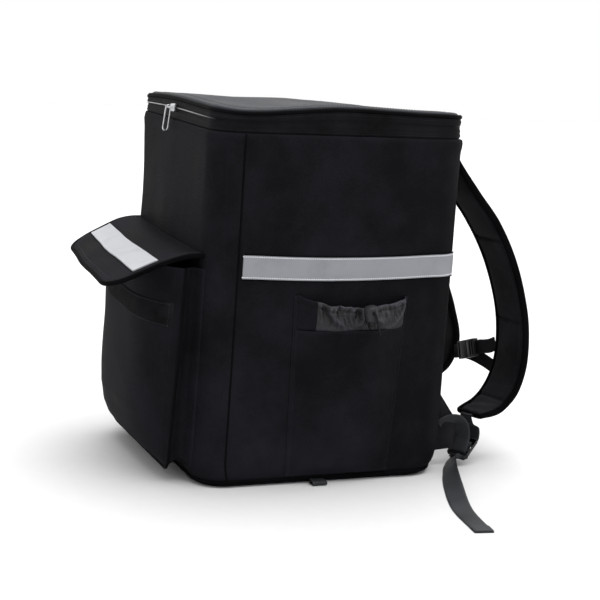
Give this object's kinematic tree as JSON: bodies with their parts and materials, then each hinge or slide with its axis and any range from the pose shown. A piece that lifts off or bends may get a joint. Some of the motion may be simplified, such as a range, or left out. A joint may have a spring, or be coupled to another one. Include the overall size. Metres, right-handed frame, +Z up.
{
  "type": "insulated delivery backpack",
  "caption": "Tall soft-sided insulated backpack with a zipped lid, a bellows front pocket under an open flap, gathered side pockets and padded shoulder straps.",
  "frame": {"origin": "centre of the base, on the floor", "axes": "+Z up, the bellows pocket faces -Y, the carrying straps are on +Y, +X is the side that the picture shows"},
  "size_m": [0.7538, 0.6073, 0.4771],
  "materials": {
    "body_fabric": "coated plain-weave polyester, slightly shiny",
    "lid_fabric": "coated fabric with a strong sheen",
    "collar_fabric": "thin shiny taffeta, gathered",
    "strap_fabric": "matt padded fabric",
    "back_fabric": "matt padded fabric",
    "binding": "ribbed seam tape",
    "piping": "fabric-covered piping",
    "zip_tape": "woven zip tape",
    "zip_metal": "nickel-plated",
    "reflective": "silver reflective tape",
    "webbing": "flat woven webbing",
    "hook_tape": "hook-and-loop tape",
    "cord": "braided cord",
    "black_plastic": "moulded satin plastic"
  },
  "bodies": {
    "bag": {"body_shell": "body_fabric", "base_binding": "binding", "zipper_tape": "zip_tape", "zipper_coil": "zip_metal", "lid_piping": "piping", "lid_panel": "lid_fabric", "zipper_slider": "zip_metal", "side_strip_right": "reflective", "side_strip_left": "reflective", "base_loop_right": "webbing", "base_loop_left": "webbing", "front_pocket_panel": "body_fabric", "front_pocket_gusset": "body_fabric", "front_pocket_piping": "piping", "hook_tape": "hook_tape", "front_flap": "body_fabric", "flap_binding": "binding", "flap_strip": "reflective", "bottle_pocket_right": "body_fabric", "bottle_pocket_left": "body_fabric", "pocket_collar_right": "collar_fabric", "pocket_collar_left": "collar_fabric", "cord_lock_barrel_right": "black_plastic", "cord_lock_barrel_left": "black_plastic", "pocket_drawcord_right": "cord", "pocket_drawcord_left": "cord", "back_panel": "back_fabric", "shoulder_strap_right": "strap_fabric", "shoulder_strap_left": "strap_fabric", "ladder_lock_right": "black_plastic", "ladder_lock_left": "black_plastic", "strap_webbing_right": "webbing", "strap_webbing_left": "webbing", "anchor_wing_right": "binding", "anchor_wing_left": "binding", "anchor_webbing_right": "webbing", "anchor_webbing_left": "webbing", "sternum_socket": "black_plastic", "sternum_plug": "black_plastic", "sternum_webbing_right": "webbing", "sternum_webbing_left": "webbing", "sternum_tail": "webbing"},
    "pull": {"zipper_pull": "zip_metal"},
    "button_right": {"cord_lock_button_right": "black_plastic"},
    "button_left": {"cord_lock_button_left": "black_plastic"}
  },
  "joints": [
    {"name": "pull_hinge", "type": "hinge", "parent": "bag", "child": "pull", "pos_m": [-0.008, -0.1782, 0.45534], "axis": [-1, 0, 0], "range_deg": [0, 150]},
    {"name": "lock_press_right", "type": "slide", "parent": "bag", "child": "button_right", "axis": [0, -0.2419, 0.9703], "range_m": [0, 0.004], "stiffness_N_per_m": 300, "springref_m": -0.002},
    {"name": "lock_press_left", "type": "slide", "parent": "bag", "child": "button_left", "axis": [0, -0.2419, 0.9703], "range_m": [0, 0.004], "stiffness_N_per_m": 300, "springref_m": -0.002}
  ]
}
